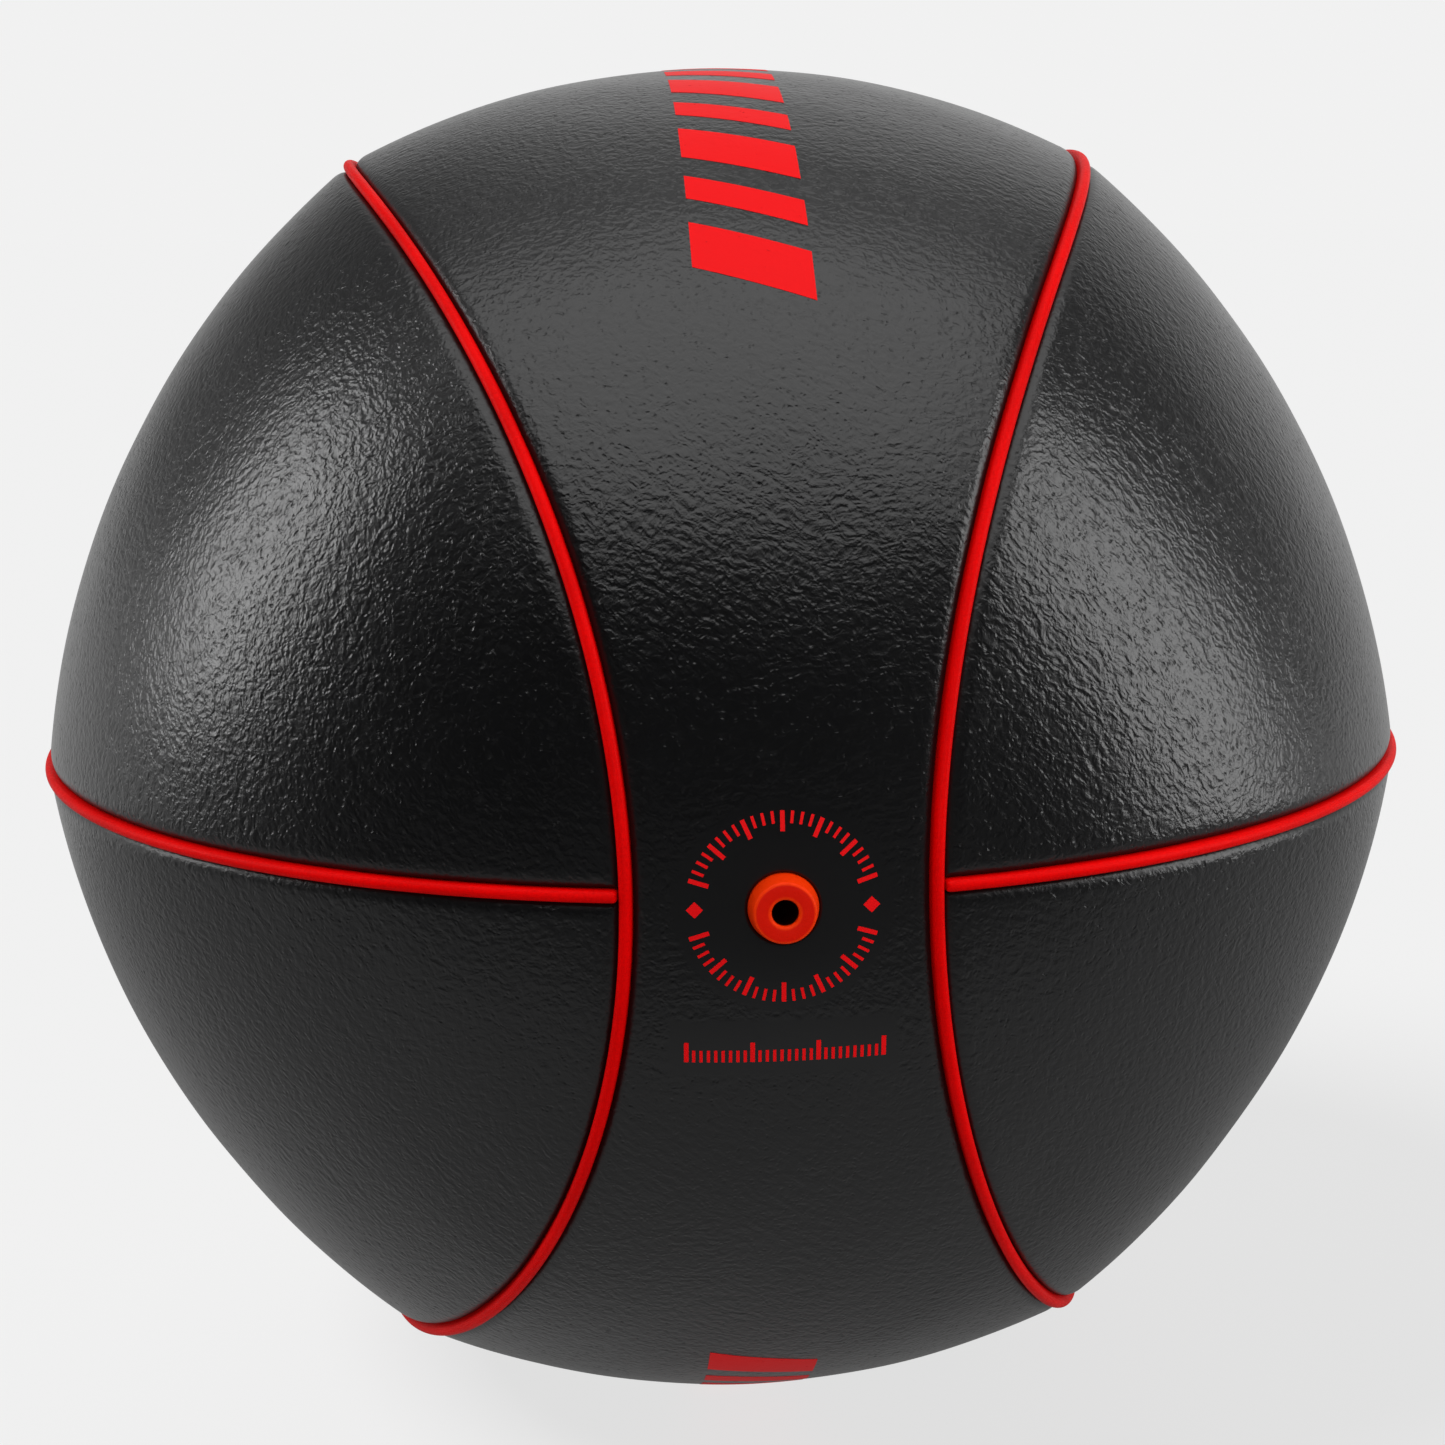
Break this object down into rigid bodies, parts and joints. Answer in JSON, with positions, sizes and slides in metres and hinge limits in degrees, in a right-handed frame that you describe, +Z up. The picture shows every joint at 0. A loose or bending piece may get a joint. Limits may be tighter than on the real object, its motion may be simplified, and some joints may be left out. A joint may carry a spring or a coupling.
{
  "type": "medicine ball",
  "caption": "Round air-filled rubber medicine ball with a pebbled five-panel cover, raised seam ribs and a pull-out plug that takes a pump needle.",
  "frame": {"origin": "centre of the ball", "axes": "+Z up, -Y out through the valve, which lies in the band's waist 1.8 mm below the cross seams, X through the middles of the two side fields that the seam loops enclose"},
  "size_m": [0.23, 0.2306, 0.223],
  "materials": {
    "cover": "matte",
    "rib": "satin",
    "plug": "satin",
    "carcass": "matte",
    "winding": "matte",
    "bladder": "satin",
    "housing": "matte"
  },
  "bodies": {
    "ball": {"bladder": "bladder", "valve_patch": "bladder", "valve_housing": "housing", "winding": "winding", "carcass_front": "carcass", "carcass_rear": "carcass", "band_panel": "cover", "side_panel_right_upper": "cover", "side_panel_right_lower": "cover", "side_panel_left_upper": "cover", "side_panel_left_lower": "cover", "loop_rib_right": "rib", "loop_rib_left": "rib", "cross_rib_right": "rib", "cross_rib_left": "rib"},
    "plug": {"valve_plug": "plug"}
  },
  "joints": [
    {"name": "plug_slide", "type": "slide", "parent": "ball", "child": "plug", "axis": [0, -1, 0], "range_m": [0, 0.028]}
  ]
}
